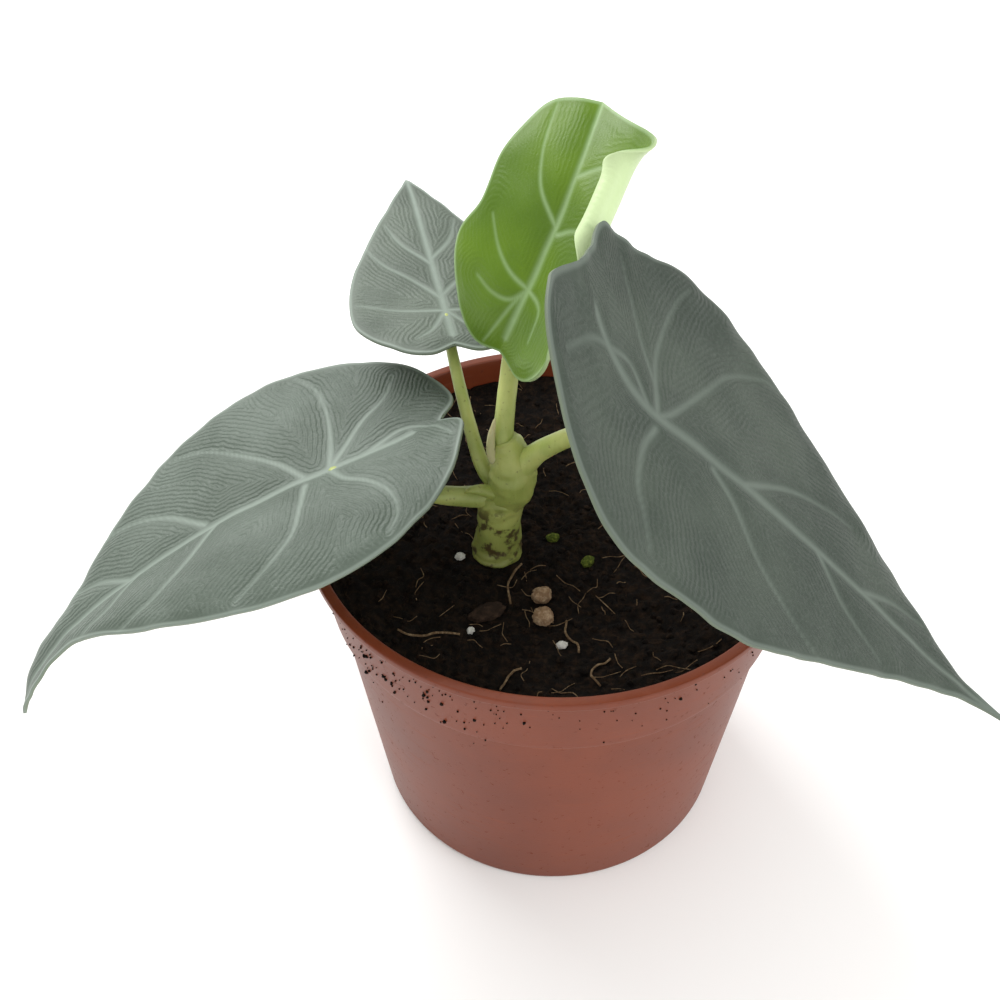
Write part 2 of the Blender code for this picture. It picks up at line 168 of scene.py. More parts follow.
def leaf_material(name, base, dark, vein, under, ridge, gloss):
    s = Shader(name)
    away, rib, edge, below = (s.attribute(a) for a in ("away", "rib", "edge", "below"))
    broad = s.noise(OBJECT_NOISE, 3)
    wander = s.noise(220, 3) * 1.6 + s.noise(900, 2) * 0.4
    ridges = ((away / RIDGE_PITCH + wander) * (2 * pi)).sine() * 0.5 + 0.5
    open_blade = away.step(0.4, 2.2) * edge.step(0.6, 2.5)
    grain = s.noise(2600, 4, 0.65)
    fine = s.node("ShaderNodeTexVoronoi", {"feature": "DISTANCE_TO_EDGE"}, {"Vector": s.place(), "Scale": 700})
    cells = 1 - fine.step(0.0, 0.12)

    colour = s.mix(broad.step(0.35, 0.7), dark, base)
    colour = s.mix(ridges * open_blade * (0.30 * ridge), colour, dark)
    colour = s.mix(cells * open_blade * (0.14 * ridge), colour, vein)
    colour = s.mix(grain.step(0.4, 0.75) * 0.18, colour, dark)
    colour = s.mix(rib * (0.72 + 0.25 * s.noise(500, 2)), colour, vein)
    colour = s.mix((1 - edge.step(0.25, 1.0)) * 0.75, colour, vein)
    colour = s.mix(below, colour, s.mix(rib * 0.6 + broad * 0.2, under, vein))
    relief = ridges * open_blade * ridge + grain * 0.25 + cells * open_blade * (-0.25 * ridge)
    return s.finish(
        Base_Color=colour,
        Roughness=gloss + grain * 0.14 + rib * 0.08,
        Specular_IOR_Level=0.26,
        Normal=s.bump(relief, 0.28 * MM, 0.75),
    )


GREY_VEIN, GREY_UNDER = (0.24, 0.29, 0.25), (0.16, 0.20, 0.13)
leaf_looks = {
    "left": leaf_material("leaf grey, lit", (0.118, 0.148, 0.122), (0.078, 0.102, 0.080), GREY_VEIN, GREY_UNDER, 0.7, 0.40),
    # The right blade's colours are a darker copy of the lit grey leaf above: painted shade, as that blade turns away
    # from the light.
    "right": leaf_material("leaf grey, painted shade", (0.062, 0.080, 0.062), (0.038, 0.052, 0.040), (0.13, 0.16, 0.135), GREY_UNDER, 0.9, 0.44),
    "back": leaf_material("leaf grey, small", (0.120, 0.148, 0.118), (0.082, 0.104, 0.082), GREY_VEIN, GREY_UNDER, 0.6, 0.44),
    "new": leaf_material("leaf green, young", (0.100, 0.190, 0.002), (0.066, 0.138, 0.002), (0.24, 0.36, 0.16), (0.55, 0.68, 0.38), 0.12, 0.30),
}
print("leaf materials:", ", ".join(leaf_looks))

# %% Stalk, pot, soil and debris materials
def stalk_material(name, pale, green, scar=0.0):
    s = Shader(name)
    streaks = s.noise(1.0, 4, 0.6, s.stretched((1400, 1400, 90)))
    blotch = s.noise(130, 3)
    colour = s.mix(blotch.step(0.3, 0.7) * 0.6 + streaks * 0.4, pale, green)
    colour = s.mix(s.noise(900, 3).step(0.62, 0.74) * 0.5, colour, (0.10, 0.08, 0.03))
    if scar:
        height = s.node("ShaderNodeSeparateXYZ", {}, {"Vector": s.place()}, output="Z")
        low = 1 - height.step(0.084, 0.094)
        mark = s.noise(260, 4, 0.6).step(0.50, 0.60) * (1 - height.step(0.094, 0.101))
        colour = s.mix(low * 0.55, colour, (0.13, 0.14, 0.03))
        colour = s.mix(mark * scar, colour, (0.045, 0.022, 0.010))
    return s.finish(
        Base_Color=colour, Roughness=0.36 + streaks * 0.18,
        Subsurface_Weight=0.08, Subsurface_Scale=0.002,
        Normal=s.bump(streaks, 0.15 * MM, 0.5),
    )


def pot_material():
    s = Shader("terracotta plastic")
    cloudy = s.noise(26, 5, 0.6)
    scuffs = s.noise(1.0, 5, 0.65, s.stretched((60, 60, 700))).step(0.56, 0.72)
    dust = s.noise(600, 4, 0.7).step(0.60, 0.70)
    height = s.node("ShaderNodeSeparateXYZ", {}, {"Vector": s.place()}, output="Z")
    upper = height.step(0.045, 0.090)
    stain = s.noise(90, 5, 0.62).step(0.56, 0.70) * upper
    colour = s.mix(cloudy.step(0.3, 0.7), (0.135, 0.024, 0.006), (0.172, 0.033, 0.009))
    colour = s.mix(scuffs * 0.14, colour, (0.42, 0.16, 0.10))
    colour = s.mix(dust * (0.12 + upper * 0.35), colour, (0.085, 0.022, 0.012))
    colour = s.mix(stain * 0.35, colour, (0.12, 0.030, 0.016))
    grain = s.noise(2200, 3)
    return s.finish(
        Base_Color=colour, Specular_IOR_Level=0.35, Roughness=0.40 + dust * 0.25 + scuffs * 0.12 + cloudy * 0.08,
        Normal=s.bump(grain * 0.4 + dust, 0.08 * MM, 0.5),
    )


def earth_material(name, dark, light, scale=500):
    s = Shader(name)
    crumbs = s.noise(scale, 8, 0.7)
    fibres = s.noise(1.0, 5, 0.6, s.stretched((1500, 300, 900))).step(0.60, 0.72)
    colour = s.mix(crumbs.step(0.42, 0.75), dark, light)
    colour = s.mix(fibres * 0.35, colour, tuple(min(1, 2.2 * c) for c in light))
    return s.finish(
        Base_Color=colour, Roughness=0.85 + crumbs * 0.15, Specular_IOR_Level=0.12,
        Normal=s.bump(crumbs + fibres * 0.3, 0.9 * MM, 0.9),
    )


looks = {
    "stalk_green": stalk_material("stalk green", (0.44, 0.48, 0.15), (0.26, 0.33, 0.07)),
    "sheath_green": stalk_material("stem and sheath", (0.42, 0.45, 0.13), (0.24, 0.30, 0.06), scar=0.9),
    "sheath_pale": stalk_material("dry sheath", (0.52, 0.50, 0.28), (0.36, 0.36, 0.14)),
    "terracotta_plastic": pot_material(),
    "soil": earth_material("peat", (0.003, 0.002, 0.0015), (0.024, 0.013, 0.007)),
    "clay": earth_material("clay", (0.24, 0.15, 0.085), (0.50, 0.37, 0.24), 700),
    "bark": earth_material("bark", (0.020, 0.012, 0.008), (0.055, 0.033, 0.022)),
    "perlite": earth_material("perlite", (0.55, 0.54, 0.50), (0.85, 0.84, 0.80), 900),
    "moss": earth_material("moss", (0.05, 0.07, 0.010), (0.22, 0.26, 0.04), 900),
    "root": earth_material("root", (0.12, 0.075, 0.04), (0.34, 0.25, 0.15), 900),
}
print("other materials:", ", ".join(looks))

# %% [markdown]
# ## Putting a piece into the frame
# A finished piece stands in for its CAD nodes, rides on the root body and carries its material. `add_piece` also
# measures how far its box lies from that of the node it replaces.

# %% Helpers for pieces
def add_piece(name, bm, material, nodes=(), smooth=True):
    mesh = bpy.data.meshes.new(name)
    bm.to_mesh(mesh)
    bm.free()
    for face in mesh.polygons:
        face.use_smooth = smooth
    mesh.materials.append(material)
    piece = bpy.data.objects.new(name, mesh)
    bpy.context.scene.collection.objects.link(piece)
    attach(piece, "root")
    if nodes:
        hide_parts(*nodes)
    print(f"{name}: {sum(len(f.vertices) - 2 for f in mesh.polygons)} triangles", end="")
    if len(nodes) == 1:
        low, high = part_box(nodes[0])
        points = np.array([v.co for v in mesh.vertices])
        gap = max(np.abs(points.min(0) - np.array(low)).max(), np.abs(points.max(0) - np.array(high)).max())
        print(f", box within {gap / MM:.1f} mm of its node", end="")
    print()
    return piece


def smooth_path(points, per_span):
    """A Catmull-Rom curve through the points, whatever their number of coordinates."""
    p = np.asarray(points, float)
    p = np.vstack([2 * p[0] - p[1], p, 2 * p[-1] - p[-2]])
    t = np.linspace(0, 1, per_span, endpoint=False)[:, None]
    spans = []
    for a, b, c, d in zip(p, p[1:], p[2:], p[3:]):
        spans.append(b + 0.5 * t * ((c - a) + t * (2 * a - 5 * b + 4 * c - d + t * (3 * (b - c) + d - a))))
    return np.vstack(spans + [p[-2:-1]])


def add_tube(bm, stations, sides=24, per_span=8, wobble=0.0, seed=0.0):
    """A round stalk of (x, y, z, radius) stations in mm: a circle extruded and turned along the path."""
    path = smooth_path(stations, per_span) * MM
    tangents = np.gradient(path[:, :3], axis=0)
    first = bmesh.ops.create_circle(bm, cap_ends=False, segments=sides, radius=1)["verts"]
    start = Vector(tangents[0]).normalized()
    frame_matrix = start.to_track_quat("Z", "Y").to_matrix()
    ring, before = first, start
    shape = [vert.co.copy() for vert in first]
    rings = []
    for index, (x, y, z, radius) in enumerate(path):
        ahead = Vector(tangents[index]).normalized()
        frame_matrix = before.rotation_difference(ahead).to_matrix() @ frame_matrix
        before = ahead
        if index:
            edges = {edge for vert in ring for edge in vert.link_edges if all(v in ring for v in edge.verts)}
            made = bmesh.ops.extrude_edge_only(bm, edges=list(edges))["geom"]
            fresh = [item for item in made if isinstance(item, bmesh.types.BMVert)]
            order = {}
            for vert in fresh:
                near = min(range(sides), key=lambda k: (ring[k].co - vert.co).length_squared)
                order[near] = vert
            ring = [order[k] for k in range(sides)]
        for corner, vert in zip(shape, ring):
            bumpy = 1 + wobble * noise.noise(Vector((corner.x * 2, corner.y * 2, index * 0.35 + seed)))
            vert.co = Vector((x, y, z)) + frame_matrix @ (corner * radius * bumpy)
        rings.append(ring)
    for end in (rings[0], rings[-1]):
        bmesh.ops.contextual_create(bm, geom=end)
    bmesh.ops.recalc_face_normals(bm, faces=bm.faces)
    return rings


# %% [markdown]
# ## Leaf blades
# A blade starts flat: a shield-shaped outline, with the stalk joined inside it at the navel. The grid between
# midrib and margin is then bent in two ways. Along the midrib the slope changes from back lobes to tip, and
# across it each half folds and arches. The young leaf adds a strong turn near its right margin, which rolls it up.

# %% Blade shapes
class Blade:
    """Lengths in mm, angles in degrees; pairs are left, right. Factors scale the outline's own points."""

    defaults = dict(
        edge_roll=(0, 0), edge_end=0.85, bow=0.0, sweep=0.0, notch=0.86, lobe_back=(1, 1), lobe_out=(1, 1),
        lobe_mid=(1, 1), shoulder=(1, 1), belly=(1, 1), waist=(1, 1), neck=(1, 1), drip=(1, 1),
    )

    def __init__(self, **values):
        self.__dict__.update(self.defaults)
        self.__dict__.update(values)

    def margin(self, side, per_span=24):
        width, back, front = self.wide[side], self.back, self.front
        points = [
            (-self.notch * back, 0),
            (-self.lobe_back[side] * back, 0.30 * width * self.lobe_out[side]),
            (-0.70 * back, 0.70 * width * self.lobe_mid[side]),
            (0, 0.97 * width * self.shoulder[side]),
            (0.25 * front, width * self.belly[side]),
            (0.50 * front, 0.72 * width * self.waist[side]),
            (0.72 * front, 0.36 * width * self.neck[side]),
            (0.88 * front, 0.11 * width * self.drip[side]),
            (front, 0),
        ]
        return smooth_path(points, per_span) * (1, 1 - 2 * side)

    def bend(self, flat):
        """Flat (x, y) points in mm, x towards the tip, bent into place in metres."""
        x, y = flat[:, 0], flat[:, 1]
        pick = lambda pair: np.where(y > 0, pair[0], pair[1])
        along = np.linspace(-1.3 * self.back, 1.02 * self.front, 240)
        slope = self.pitch + np.where(along > 0, self.droop * along / self.front, -self.back_bend * along / self.back)
        slope = np.radians(slope + self.tip_curl * np.clip((along / self.front - 0.6) / 0.4, 0, None) ** 2)
        step = along[1] - along[0]
        run, rise = [
            np.concatenate([[0], np.cumsum((part[1:] + part[:-1]) * step / 2)])
            for part in (np.cos(slope), np.sin(slope))
        ]
        run, rise = [np.interp(x, along, part) - np.interp(0, along, part) for part in (run, rise)]
        slope = np.interp(x, along, slope)

        out = np.abs(y)
        rolled = np.clip((self.edge_end - x / self.front) / 0.25, 0, 1)
        rolled = rolled * rolled * (3 - 2 * rolled)
        share = np.linspace(0, 1, 17)[:, None] * out / pick(self.wide)
        turn = pick(self.fold) + pick(self.arch) * share
        turn = np.radians(turn + pick(self.edge_roll) * rolled * np.clip((share - 0.55) / 0.45, 0, None) ** 2)
        weight = np.full((17, 1), 1 / 16)
        weight[0] = weight[-1] = 1 / 32
        across = (np.cos(turn) * weight).sum(0) * out * np.sign(y)
        drop = (np.sin(turn) * weight).sum(0) * out
        sway = np.where(x < 0, self.sweep * x * x / self.back, self.bow * x * x / self.front)

        shape = np.stack([run + drop * np.sin(slope), across + sway, rise - drop * np.cos(slope)], -1)
        roll, pitch, heading = radians(self.roll), radians(self.pitch), radians(self.heading)
        axis = np.array([cos(pitch), 0, sin(pitch)])
        shape = shape * cos(roll) + np.cross(axis, shape) * sin(roll) + axis * (shape @ axis)[:, None] * (1 - cos(roll))
        turned = np.stack([
            shape[:, 0] * cos(heading) - shape[:, 1] * sin(heading),
            shape[:, 0] * sin(heading) + shape[:, 1] * cos(heading),
            shape[:, 2],
        ], -1)
        return (turned + self.navel) * MM


blades = {
    "left": Blade(
        navel=(-51.0, -11.5, 111.4), heading=198.6, pitch=-15.2, roll=17.9, front=96.6, back=31.9,
        wide=(32.7, 35.8), droop=-28.2, back_bend=-5.0, tip_curl=-28.9, fold=(-4.2, -15.0),
        arch=(34.4, -2.5), lobe_out=(0.62, 0.72), lobe_mid=(1.06, 1.06), shoulder=(1.08, 1.08),
        waist=(0.94, 0.94), neck=(0.64, 0.64), drip=(1.36, 1.36),
    ),
    "right": Blade(
        navel=(18.0, -46.7, 159.9), heading=-0.3, pitch=-42.0, roll=-6.0, front=102.2, back=29.0,
        wide=(43.4, 38.0), droop=-4.5, back_bend=-37.6, tip_curl=16.0, fold=(-9.2, 18.7),
        arch=(-8.9, -9.0), bow=-0.14, sweep=0.96, lobe_back=(0.79, 1.0), lobe_out=(0.8, 1.9),
        lobe_mid=(0.8, 1.03), shoulder=(0.99, 0.92), belly=(0.86, 0.88), waist=(0.78, 0.8),
        neck=(0.71, 0.71), drip=(0.51, 0.51),
    ),
    "back": Blade(
        navel=(-27.1, 24.7, 129.7), heading=103.9, pitch=-2.2, roll=1.7, front=65.3, back=16.2,
        wide=(21.1, 22.0), droop=2.4, back_bend=-1.8, tip_curl=-16.8, fold=(0.8, 1.8),
        arch=(10.5, 16.6), lobe_mid=(0.94, 0.94), shoulder=(1.05, 1.0), belly=(0.97, 0.97),
        waist=(0.95, 0.95), drip=(1.23, 1.23),
    ),
    "new": Blade(
        navel=(-7.2, 2.6, 151.7), heading=38.2, pitch=59.0, roll=7.3, front=41.8, back=18.4,
        wide=(23.5, 26.7), droop=-32.0, back_bend=30.5, tip_curl=-9.2, fold=(-5.9, -5.6),
        arch=(18.7, -47.8), edge_roll=(0, -199), bow=0.29, sweep=0.17, notch=0.93,
        lobe_out=(1.02, 1.0), lobe_mid=(0.94, 0.8), shoulder=(1.09, 0.85), belly=(0.94, 0.84),
        waist=(1.29, 1.5), neck=(2.04, 2.8), drip=(4.45, 7.4),
    ),
}
print("blades:", ", ".join(blades))

# %% [markdown]
# ## Veins
# Each side vein is a curve in the flat blade, given by a few points in mm ahead of and beside the navel. The
# primary ones leave the navel like spokes, the others leave the midrib. The blade puffs up between them and sinks a
# little over them.

# %% Vein paths
veins = {
    "left": [
        [(6, -1), (11, -9), (18, -17), (26, -25), (35, -29)], [(0, 0), (-2, -9), (-3, -19), (-2, -29), (2, -36)],
        [(0, 0), (-10, -11), (-17, -16), (-21, -22)], [(-8, 0), (-18, -3), (-25, 1), (-29, 9)],
        [(0, 0), (-3, 7), (-8, 12), (-12, 19), (-12, 25), (-9, 29)], [(6, 3), (8, 11), (11, 19), (17, 24), (27, 29)],
        [(31, -2), (39, -11), (48, -17), (58, -19)], [(28, 0), (36, 9), (46, 15), (56, 17)],
        [(52, 0), (60, -6), (68, -9)], [(50, 0), (58, 6), (67, 9)],
    ],
    "right": [
        [(0, 0), (4, 4), (12, 16), (18, 25), (27, 32), (34, 34)], [(0, 0), (-1, 9), (-1, 18), (2, 32), (5, 39)],
        [(0, 0), (-1, 7), (-6, 15), (-12, 22), (-15, 25)], [(-2, 0), (-8, 5), (-14, 0), (-18, -6), (-22, -19)],
        [(0, -3), (-2, -9), (-2, -17), (0, -23), (2, -30)], [(15, -2), (21, -6), (30, -15), (38, -20), (46, -24)],
        [(23, 0), (36, 9), (47, 13), (56, 15)], [(44, 0), (54, -8), (64, -12)], [(58, 0), (68, 5), (78, 7)],
    ],
    "back": [
        [(5, 0), (13, 5), (23, 12), (31, 15)], [(0, 0), (2, 9), (8, 20)], [(0, 0), (-7, 4), (-10, 8)],
        [(0, 0), (1, -9), (6, -18)], [(6, 0), (15, -7), (24, -13)], [(20, 0), (30, 6), (40, 9)],
        [(22, 0), (31, -6), (41, -9)], [(0, 0), (-7, -5), (-10, -9)],
    ],
    "new": [
        [(14, 0), (19, 7), (25, 10), (31, 11), (36, 11)], [(13, -1), (16, -7), (18, -24)], [(0, 0), (1, 6), (4, 12), (9, 17)],
        [(0, 0), (-4, 3), (-5, 8), (-4, 14)], [(0, 0), (-5, 2), (-13, 4), (-17, 5)], [(0, 0), (-1, -4), (-3, -6), (-9, -7)],
        [(25, 0), (29, -6), (32, -14)],
    ],
}
BLADE_THICKNESS = 0.8 * MM
COLUMNS, ROWS = 210, 120


def polyline_distance(points, path):
    """Distance from each point to a path, and how far along the path it lies, from 0 to 1."""
    best, place = np.full(len(points), 1e9), np.zeros(len(points))
    for index, (a, b) in enumerate(zip(path, path[1:])):
        line = b - a
        share = np.clip(((points - a) @ line) / (line @ line), 0, 1)
        away = np.linalg.norm(points - a - share[:, None] * line, axis=1)
        nearer = away < best
        best = np.where(nearer, away, best)
        place = np.where(nearer, (index + share) / (len(path) - 1), place)
    return best, place


def build_blade(which):
    blade = blades[which]
    bm = bmesh.new()
    bmesh.ops.create_grid(bm, x_segments=COLUMNS, y_segments=ROWS, size=1)
    u = np.array([(vert.co.x + 1) / 2 for vert in bm.verts])
    v = np.array([vert.co.y for vert in bm.verts])
    start = -blade.notch * blade.back
    midrib = np.stack([start + (blade.front - start) * u**1.5, 0 * u], -1)
    flat, edge = midrib.copy(), np.zeros_like(midrib)
    for side, mask in ((0, v > 0), (1, v < 0)):
        margin = blade.margin(side)
        place = np.linspace(0, 1, len(margin))
        edge = np.stack([np.interp(u, place, margin[:, 0]), np.interp(u, place, margin[:, 1])], -1)
        flat = np.where(mask[:, None], midrib + np.abs(v)[:, None] * (edge - midrib), flat)
    both = np.vstack([blade.margin(0), blade.margin(1)[::-1]])
    to_edge, _ = polyline_distance(flat, both)

    size = blade.front / 100
    away, rib = np.abs(flat[:, 1]) + np.clip(start * 0.75 - flat[:, 0], 0, None), np.zeros(len(flat))
    taper = np.clip(1 - flat[:, 0] / blade.front, 0.15, 1)
    rib = np.exp(-((away / (0.55 + 0.75 * size * taper)) ** 2))
    for path in veins[which]:
        near, along = polyline_distance(flat, smooth_path(path, 8))
        rib = np.maximum(rib, (1 - 0.55 * along) * np.exp(-((near / (0.40 + 0.35 * size * (1 - along))) ** 2)))
        away = np.minimum(away, near + 1.2 * along)

    points = blade.bend(flat)
    ahead = blade.bend(flat + (0.05, 0)) - points
    aside = blade.bend(flat + np.stack([0 * v, np.where(v < 0, -0.05, 0.05)], -1)) - points
    aside *= np.where(v < 0, -1, 1)[:, None]
    normal = np.cross(ahead, aside)
    normal /= np.linalg.norm(normal, axis=1)[:, None] + 1e-12
    puff = (1 - np.exp(-((away / 3.2) ** 2))) * np.clip(to_edge / 3, 0, 1)
    waves = np.array([noise.noise(Vector((p[0] * 0.11, p[1] * 0.11, 7.3))) for p in flat]) * np.clip(to_edge / 4, 0, 1)
    wavy = np.array([noise.noise(Vector((p[0] * 0.16, p[1] * 0.16, 2.1))) for p in flat]) * np.exp(-to_edge / 5)
    rise = 0.55 * size * puff + 0.35 * waves + 0.55 * size * wavy - 0.12 * rib
    points = points + normal * rise[:, None] * MM

    layers = {name: bm.verts.layers.float.new(name) for name in ("away", "rib", "edge", "below")}
    upward = bm.verts.layers.float_vector.new("upward")
    for index, vert in enumerate(bm.verts):
        vert.co = points[index]
        vert[upward] = normal[index]
        vert[layers["away"]] = away[index]
        vert[layers["rib"]] = rib[index]
        vert[layers["edge"]] = to_edge[index]
    bmesh.ops.remove_doubles(bm, verts=bm.verts, dist=4e-5)
    lower = bmesh.ops.extrude_face_region(bm, geom=bm.faces[:], use_keep_orig=True)["geom"]
    for vert in lower:
        if isinstance(vert, bmesh.types.BMVert):
            vert.co -= vert[upward] * BLADE_THICKNESS
            vert[layers["below"]] = 1.0
    bmesh.ops.recalc_face_normals(bm, faces=bm.faces)
    print(which, "widest", round(blade.wide[0] + blade.wide[1]), "mm, length", round(blade.front + blade.back), "mm;", end=" ")
    add_piece(f"{which}_blade", bm, leaf_looks[which], (f"blade_{which}",))


for which in blades:
    build_blade(which)

# %% [markdown]
# ## Stem, sheath and stalks
# The stalks are lathe-round in section and taper up to their blades. The sheath is a swollen leaf base wrapped
# round the young stalk, and two dry ends of older sheaths stand beside it.

# %% Stem and stalks
stalks = {
    "petiole_left": ([(-13.0, -5.0, 98.6, 3.0), (-20.0, -6.5, 99.6, 2.5), (-27.9, -8.0, 101.4, 2.2),
                      (-40.0, -9.8, 105.4, 2.1), (-48.5, -11.1, 109.6, 2.0), (-50.2, -11.4, 109.6, 1.9)], "stalk_green"),
    "petiole_right": ([(-8.6, -6.0, 108.6, 3.2), (-3.4, -7.4, 115.6, 2.4), (4.4, -12.0, 124.6, 2.1),
                       (10.8, -24.0, 137.0, 2.0), (16.2, -41.0, 154.2, 2.0), (17.2, -44.6, 157.2, 1.9)], "stalk_green"),
    "petiole_back": ([(-14.0, -4.0, 101.0, 2.1), (-17.5, -1.5, 106.0, 1.8), (-21.0, 4.0, 116.0, 1.5),
                      (-24.6, 14.0, 124.6, 1.3), (-26.5, 22.0, 128.4, 1.2), (-26.8, 23.6, 128.1, 1.1)], "stalk_green"),
    "petiole_new": ([(-11.4, -3.8, 109.0, 2.3), (-12.2, -3.8, 114.5, 2.3), (-11.8, -0.6, 122.0, 2.2),
                     (-10.8, 4.6, 131.0, 2.1), (-9.4, 6.6, 141.0, 2.0), (-8.3, 5.2, 148.8, 1.7)], "stalk_green"),
    "stem": ([(-13.7, -6.2, 81.6, 6.3), (-13.5, -6.0, 85.0, 5.6), (-13.2, -5.6, 91.0, 5.2),
              (-12.8, -5.2, 97.0, 5.2), (-12.6, -5.0, 100.0, 4.6), (-12.5, -5.0, 101.2, 3.2)], "sheath_green"),
    "sheath": ([(-11.4, -5.0, 98.0, 4.6), (-10.3, -5.4, 103.0, 5.5), (-10.0, -5.2, 108.0, 5.3),
                (-10.8, -4.3, 112.8, 4.0), (-11.8, -4.0, 115.6, 2.9)], "sheath_green"),
    "sheath_tip": ([(-12.6, -5.4, 108.0, 1.6), (-14.6, -5.8, 112.5, 1.25), (-14.8, -5.6, 117.0, 0.9),
                    (-14.2, -5.2, 121.0, 0.45), (-13.9, -5.0, 122.4, 0.15)], "sheath_pale"),
    "sheath_flap": ([(-14.5, -7.5, 102.0, 1.8), (-17.2, -8.4, 103.6, 1.3), (-19.6, -8.8, 103.8, 0.8),
                     (-20.8, -8.6, 102.8, 0.3)], "sheath_green"),
}
for number, (node, (stations, slot)) in enumerate(stalks.items()):
    bm = bmesh.new()
    add_tube(bm, stations, sides=28, wobble=0.10 if slot != "stalk_green" else 0.04, seed=5.0 * number)
    add_piece("round_" + node, bm, looks[slot], (node,))

# %% [markdown]
# ## The pot
# One profile spun round the axis: tapered body, a step out to the collar, a rounded lip, and a floor with
# drainage holes. Every corner of the profile is rounded by its own short arc.

# %% Pot
RIM, HEIGHT, BASE = 60.0, 91.4, 45.7
SHOULDER = HEIGHT - 21.0
WALL = 1.3


def wall(z):
    if z < SHOULDER:
        return BASE + (54.2 - BASE) * z / SHOULDER
    return 55.7 + (RIM - 1.25 - 55.7) * (z - SHOULDER) / 21.0


def rounded(profile, radius, steps=4):
    """The profile with each inner corner replaced by a short curve."""
    p = [np.array(q, float) for q in profile]
    out = [p[0]]
    for before, here, after in zip(p, p[1:], p[2:]):
        reach = min(radius, 0.4 * np.linalg.norm(here - before), 0.4 * np.linalg.norm(after - here))
        a = here + (before - here) / np.linalg.norm(before - here) * reach
        b = here + (after - here) / np.linalg.norm(after - here) * reach
        for t in np.linspace(0, 1, steps):
            out.append((1 - t) ** 2 * a + 2 * t * (1 - t) * here + t * t * b)
    out.append(p[-1])
    fine = [out[0]]
    for a, b in zip(out, out[1:]):
        parts = max(1, int(np.linalg.norm(b - a) / 0.9))
        fine += [a + (b - a) * (index + 1) / parts for index in range(parts)]
    return fine


def spin_profile(bm, profile, steps):
    verts = [bm.verts.new((r * MM, 0, z * MM)) for r, z in profile]
    edges = [bm.edges.new(pair) for pair in zip(verts, verts[1:])]
    bmesh.ops.spin(bm, geom=verts + edges, cent=(0, 0, 0), axis=(0, 0, 1), angle=2 * pi, steps=steps, use_merge=True)
    bmesh.ops.remove_doubles(bm, verts=bm.verts, dist=1e-6)
    bmesh.ops.recalc_face_normals(bm, faces=bm.faces)


pot_profile = rounded([
    (0, WALL), (wall(WALL) - WALL, WALL), (wall(SHOULDER - 1) - WALL, SHOULDER - 1),
    (wall(SHOULDER + WALL) - WALL, SHOULDER + WALL), (wall(HEIGHT - 2.4) - WALL, HEIGHT - 2.4), (RIM - 2.5, HEIGHT),
    (RIM, HEIGHT), (RIM, HEIGHT - 2.0), (wall(HEIGHT - 2.3), HEIGHT - 2.3), (wall(SHOULDER), SHOULDER),
    (wall(SHOULDER - 0.8), SHOULDER - 0.8), (BASE, 0.6), (BASE - 1.4, 0), (0, 0),
], 0.45)
bm = bmesh.new()
spin_profile(bm, pot_profile, 160)
pot = add_piece("nursery_pot", bm, looks["terracotta_plastic"], ("pot",))
bm = bmesh.new()
for index in range(8):
    angle = 2 * pi * (index + 0.5) / 8
    hole = bmesh.ops.create_cone(bm, cap_ends=True, segments=40, radius1=4 * MM, radius2=4 * MM, depth=5.2 * MM)
    bmesh.ops.translate(bm, verts=hole["verts"], vec=(33 * MM * cos(angle), 33 * MM * sin(angle), 0.65 * MM))
mesh = bpy.data.meshes.new("drain_cutter")
bm.to_mesh(mesh)
bm.free()
cutter = bpy.data.objects.new("drain_cutter", mesh)
bpy.context.scene.collection.objects.link(cutter)
drill = pot.modifiers.new("drill", "BOOLEAN")
drill.object = cutter
drill.solver = "EXACT"
bpy.context.view_layer.update()
drilled = bpy.data.meshes.new_from_object(pot.evaluated_get(bpy.context.evaluated_depsgraph_get()))
pot.modifiers.clear()
pot.data = drilled
bpy.data.objects.remove(cutter, do_unlink=True)
print("pot with", 8, "drainage holes:", len(drilled.polygons), "faces")

# %% [markdown]
# ## Soil
# Damp peat: a fine disc raised by several sizes of noise, sunk a little round each thing that stands on it. Its
# sides follow the inside of the pot. Crumbs and thin fibres are strewn over it from a fixed seed.

# %% Soil surface
SOIL_LEVEL, SOIL_BANK = 82.6, 2.6
SEAT_LEVEL = SOIL_LEVEL - 0.9
lumps = {  # centre x, y, half sizes in mm, turn in degrees, slot
    "clay_lump_rear": (-2.4, -22.0, 2.4, 1.8, 2.2, 20, "clay"),
    "clay_lump_front": (-2.0, -28.4, 2.3, 2.3, 2.0, -35, "clay"),
    "bark_chip": (-15.0, -27.0, 4.2, 2.3, 1.0, 30, "bark"),
    "perlite_left": (-22.4, -9.4, 1.2, 1.0, 0.9, 10, "perlite"),
    "perlite_front": (-18.3, -32.6, 1.0, 0.9, 0.8, 70, "perlite"),
    "perlite_right": (2.4, -35.9, 1.3, 1.0, 0.9, 0, "perlite"),
    "moss_tuft_rear": (-0.4, -2.2, 1.6, 1.3, 0.9, 15, "moss"),
    "moss_tuft_right": (8.1, -9.8, 1.8, 1.4, 1.0, 60, "moss"),
}
seats = [(-13.7, -6.2, 6.1)] + [(x, y, max(a, b)) for x, y, a, b, _, _, _ in lumps.values()]


def soil_height(x, y):
    """Level of the soil in mm at a point in mm."""
    reach = (x * x + y * y) ** 0.5 / 57.5
    level = SOIL_LEVEL + SOIL_BANK * max(0, reach - 0.45) ** 2 / 0.3
    level += 0.7 * noise.noise(Vector((x * MM, y * MM, 0.31)) * 90)
    rough = Vector((x, y, 4.0))
    level += 0.75 * noise.noise(rough * 0.33) + 0.55 * noise.noise(rough * 0.9) + 0.35 * noise.noise(rough * 2.1)
    for cx, cy, radius in seats:
        blend = min(1, max(0, (((x - cx) ** 2 + (y - cy) ** 2) ** 0.5 - radius + 1.2) / 4))
        level = SEAT_LEVEL + (level - SEAT_LEVEL) * blend
    return level


